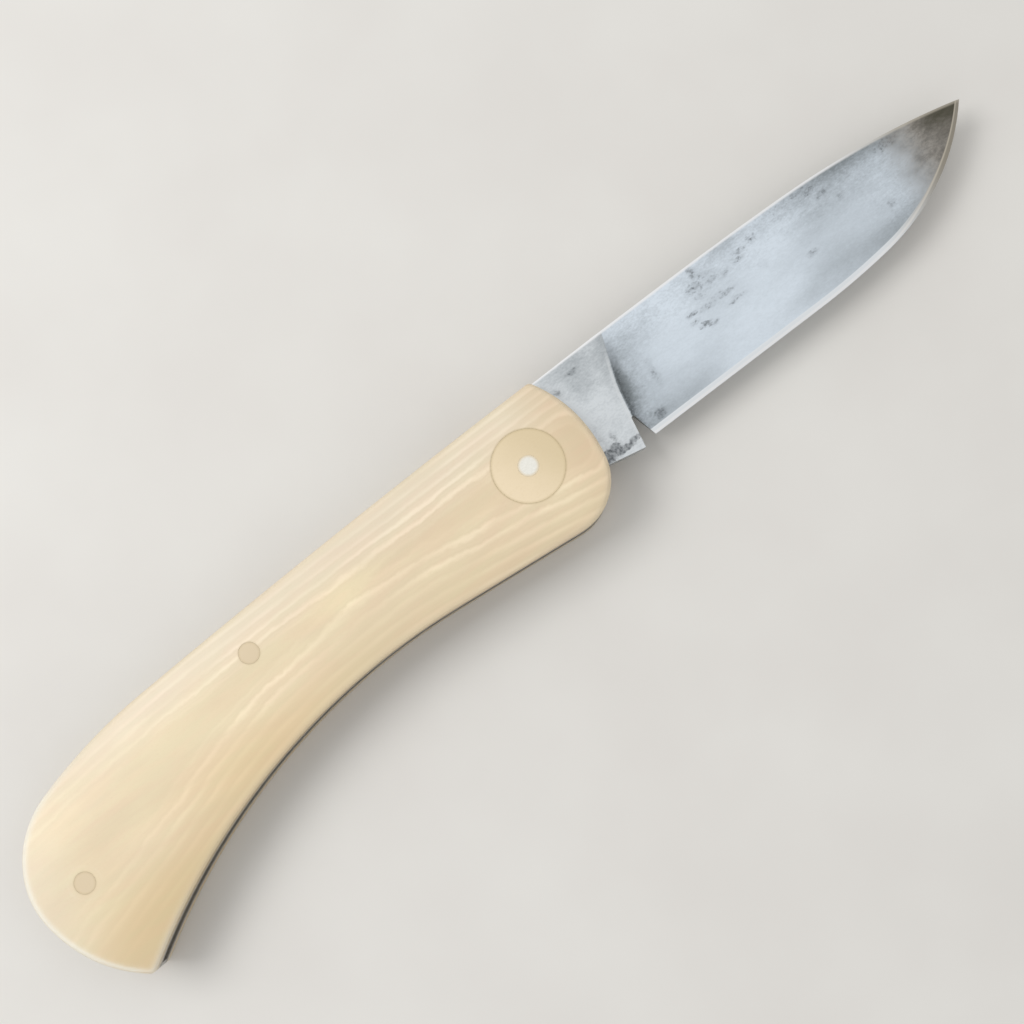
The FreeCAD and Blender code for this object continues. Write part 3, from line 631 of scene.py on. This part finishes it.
def rust_stains(graph):
    """Clusters of grey specks, each at its own place, that run together where the rust is deepest."""
    wobble = (1.3, 0.8, 1.3)
    reach = graph.x + graph.noise(wobble, 3.0) * 1.5
    height = graph.y + graph.noise(wobble, 3.0, shift=(7.0, 3.0, 0.0)) * 1.1
    crowd = graph.patch(*SPINE_RUST)
    for centre, size, depth in STAINS:
        across = (reach - centre[0]) / size[0]
        along = (height - centre[1]) / size[1]
        stain = graph.step(across * across + along * along, 3.4, 0.0, most=depth)
        crowd = graph.larger(stain, crowd)
    speck = graph.noise((0.6, 0.4, 0.6), 3.0, 0.65, (3.0, 1.0, 0.0))
    deep = graph.step(crowd * 1.2 + speck * 1.9, 0.3, 1.0) * graph.step(crowd, 0.05, 0.4)
    grain = graph.noise((0.45, 0.6, 0.45), 3.0, 0.6, (1.0, 8.0, 0.0)) * 2.6 + 0.75
    rust = deep * graph.larger(grain, 0.1) * 0.8 + crowd * 0.3
    return graph.smaller(rust * 0.8, 0.9)


def tip_tarnish(graph, colour):
    """Brown-grey tarnish towards the tip, darkest under the spine."""
    haze = graph.noise((3.0, 2.0, 3.0), 3.0)
    from_tip = TIP[0] - graph.x + haze * 3.5 + graph.mottle * 2.0
    dapple = haze * 0.5 + graph.mottle * 0.6 + graph.grit * 0.6
    brown = graph.blend(graph.spread(dapple, 0.25), TIP_BROWN_DEEP, TIP_BROWN_PALE)
    colour = graph.blend(graph.step(from_tip, 17.5, 8.0, most=0.9), colour, brown)
    colour = graph.blend(graph.step(from_tip, 10.0, 3.0, most=0.6), colour, TIP_DARK)
    high = graph.step(graph.below_spine + graph.mottle * 2.0, 4.0, 0.8)
    return graph.blend(graph.step(from_tip, 11.0, 3.0, most=0.75) * high, colour, TIP_DARKEST)


def bright_lines(graph, colour):
    """Clean bevel with a painted highlight, low along the edge and higher at the tip, and a bright spine line
    of painted highlight.
    """
    tarnish = graph.step(graph.x, TARNISH_FROM, TARNISH_FULLY)
    gleam = graph.blend(tarnish, GLEAM_HIGHLIGHT_CLEAN, GLEAM_HIGHLIGHT_TARNISHED)
    on_bevel = graph.step(graph.above_edge, BEVEL_WIDTH + BEVEL_FADE, BEVEL_WIDTH)
    on_bevel = on_bevel * graph.step(graph.x, HEEL_X - BEVEL_FADE, HEEL_X)
    colour = graph.blend(on_bevel, colour, graph.blend(tarnish, BEVEL_CLEAN, BEVEL_TARNISHED))
    height = graph.step(graph.x, TARNISH_FROM, TARNISH_FULLY, least=GLEAM_HEIGHT, most=BEVEL_WIDTH)
    off_gleam = graph.absolute(graph.above_edge - height)
    # Painted highlight along the bevel.
    colour = graph.blend(graph.step(off_gleam, 0.3, 0.05, most=0.8) * on_bevel, colour, gleam)
    # Painted highlight along the spine's corner.
    spine = graph.step(graph.below_spine, 0.55, 0.15) * (0.9 - tarnish * 0.35)
    return graph.blend(spine, colour, gleam)


def filed_walls(graph, colour):
    """File marks along the upright walls."""
    mark = graph.spread(graph.noise((5.0, 5.0, 0.12), 3.0), 0.2)
    return graph.blend(graph.upright(most=0.85), colour, graph.blend(mark, FILED_DEEP, FILED_PALE))


def blade_material():
    """Satin steel with a patina: grey film and stains, a darker tip, bright lines and filed walls."""
    graph = BladeGraph("patinated_steel")
    colour = graph.blend(graph.ground, RICASSO_STEEL, FACE_STEEL)
    colour = graph.blend(grey_film(graph), colour, FILM_GREY)
    colour = plunge_stains(graph, colour)
    colour = graph.blend(rust_stains(graph), colour, RUST_GREY)
    colour = tip_tarnish(graph, colour)
    colour = bright_lines(graph, colour)
    colour = filed_walls(graph, colour)
    graph.bump(graph.scratch + graph.mottle * 0.4, BLADE_RELIEF)
    roughness = graph.scratch * 0.12 + graph.mottle * 0.1 + BLADE_ROUGHNESS
    return graph.finish(colour, roughness, metallic=1.0)


def plain_steel(name, shade, roughness):
    """Ground steel with fine lengthwise scratches, and walls darkened by painted shade beside each seam."""
    graph = Graph(name)
    scratch = graph.noise((4.0, 0.15, 0.15), 3.0)
    cloud = graph.noise((3.0, 3.0, 3.0))
    dark = (*(value * 0.75 for value in shade[:3]), 1.0)
    colour = graph.blend(graph.spread(scratch + cloud * 0.5, 0.25), dark, shade)
    wall = graph.upright(most=0.8)
    # Painted shade on the walls along each seam.
    for height in SEAMS:
        seam = graph.step(graph.absolute(graph.z - height), SEAM_OUTER, SEAM_INNER)
        colour = graph.blend(seam * wall, colour, SEAM_SHADE_BROWN)
    graph.bump(scratch, STEEL_RELIEF)
    return graph.finish(colour, scratch * 0.2 + roughness, metallic=1.0)


def pin_material():
    """Dressed end of the steel pins, duller towards the pivot pin's rim."""
    graph = Graph("pin_steel")
    grain = graph.noise((0.6, 0.2, 0.2), 3.0)
    colour = graph.blend(graph.spread(grain, 0.25), PIN_DEEP, PIN_PALE)
    rim = graph.step(graph.distance((0.0, 0.0)), PIN_RADIUS - PIN_RIM_WIDTH, PIN_RADIUS, most=0.8)
    colour = graph.blend(rim, colour, PIN_RIM)
    graph.bump(grain, STEEL_RELIEF)
    return graph.finish(colour, grain * 0.1 + PIN_ROUGHNESS, metallic=1.0)


def bronze_material():
    """Turned bronze of the bushing and washers."""
    graph = Graph("bronze")
    ring = graph.noise((0.2, 0.2, 6.0), 3.0)
    colour = graph.blend(graph.spread(ring, 0.2), BRONZE_DEEP, BRONZE_PALE)
    graph.bump(ring, BRONZE_RELIEF)
    return graph.finish(colour, ring * 0.2 + BRONZE_ROUGHNESS, metallic=1.0)


def floor_material():
    """Plain pale table top."""
    graph = Graph("pale_floor")
    grain = graph.noise((30.0, 30.0, 30.0), 3.0)
    colour = graph.blend(graph.spread(grain, 0.3), FLOOR_DEEP, FLOOR_PALE)
    return graph.finish(colour, FLOOR_ROUGHNESS, specular=0.2)


def dress(material, *names):
    """Give pieces of the knife a material."""
    for name in names:
        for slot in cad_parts[name].material_slots:
            slot.material = material


def aim(item, spot, target, up):
    """Place an object at a spot, facing the target, with a given way up."""
    back = (Vector(spot) - Vector(target)).normalized()
    right = Vector(up).cross(back).normalized()
    rise = back.cross(right)
    turn = Matrix((right, rise, back)).transposed().to_4x4()
    item.matrix_world = Matrix.Translation(Vector(spot) * MM) @ turn


def add_floor():
    """Floor just under the knife."""
    bpy.ops.mesh.primitive_plane_add(size=FLOOR_SIZE * MM, location=(0, 0, -FLOOR_DROP * MM))
    floor = bpy.context.object
    floor.name = "floor"
    floor.data.materials.append(floor_material())


def add_lamp(name, spot, target, size, watts):
    """Soft square lamp."""
    light = bpy.data.lights.new(name, "AREA")
    light.shape = "SQUARE"
    light.size = size * MM
    light.energy = watts
    lamp = bpy.data.objects.new(name, light)
    bpy.context.collection.objects.link(lamp)
    aim(lamp, spot, target, LAMP_UP)


def add_world():
    """Pale studio dome, brightest overhead."""
    world = bpy.data.worlds.new("studio")
    bpy.context.scene.world = world
    world.use_nodes = True
    tree = world.node_tree
    place = tree.nodes.new("ShaderNodeTexCoord")
    parts = tree.nodes.new("ShaderNodeSeparateXYZ")
    rise = tree.nodes.new("ShaderNodeMapRange")
    rise.inputs["To Min"].default_value = DOME_HORIZON
    rise.inputs["To Max"].default_value = DOME_TOP
    sky = tree.nodes["Background"]
    sky.inputs["Color"].default_value = (1.0, 1.0, 1.0, 1.0)
    tree.links.new(place.outputs["Generated"], parts.inputs[0])
    tree.links.new(parts.outputs["Z"], rise.inputs["Value"])
    tree.links.new(rise.outputs["Result"], sky.inputs["Strength"])


def add_camera():
    """Camera above the knife, turned so that the blade points to the upper right."""
    data = bpy.data.cameras.new("camera")
    data.sensor_fit = "HORIZONTAL"
    data.angle = VIEW_ANGLE
    data.clip_start = VIEW_NEAR * MM
    data.clip_end = VIEW_FAR * MM
    camera = bpy.data.objects.new("camera", data)
    bpy.context.collection.objects.link(camera)
    aim(camera, VIEW_SPOT, VIEW_TARGET, VIEW_UP)
    bpy.context.scene.camera = camera


dress(cover_material(), "near_scale", "far_scale")
dress(
    inlay_material(),
    "near_pivot_disc",
    "far_pivot_disc",
    "near_spring_plug",
    "far_spring_plug",
    "near_tail_plug",
    "far_tail_plug",
)
dress(blade_material(), "blade")
dress(plain_steel("liner_steel", LINER_STEEL, LINER_ROUGHNESS), "near_liner", "far_liner")
dress(plain_steel("spring_steel", SPRING_STEEL, SPRING_ROUGHNESS), "backspring")
dress(pin_material(), "pivot_pin", "spring_pin", "tail_pin")
dress(bronze_material(), "pivot_bushing", "near_washer", "far_washer")

add_floor()
add_lamp("key", spot=(-260.0, 240.0, 450.0), target=(0.0, 0.0, 0.0), size=300.0, watts=1.4)
add_world()
add_camera()
bpy.context.scene.view_settings.view_transform = "Standard"
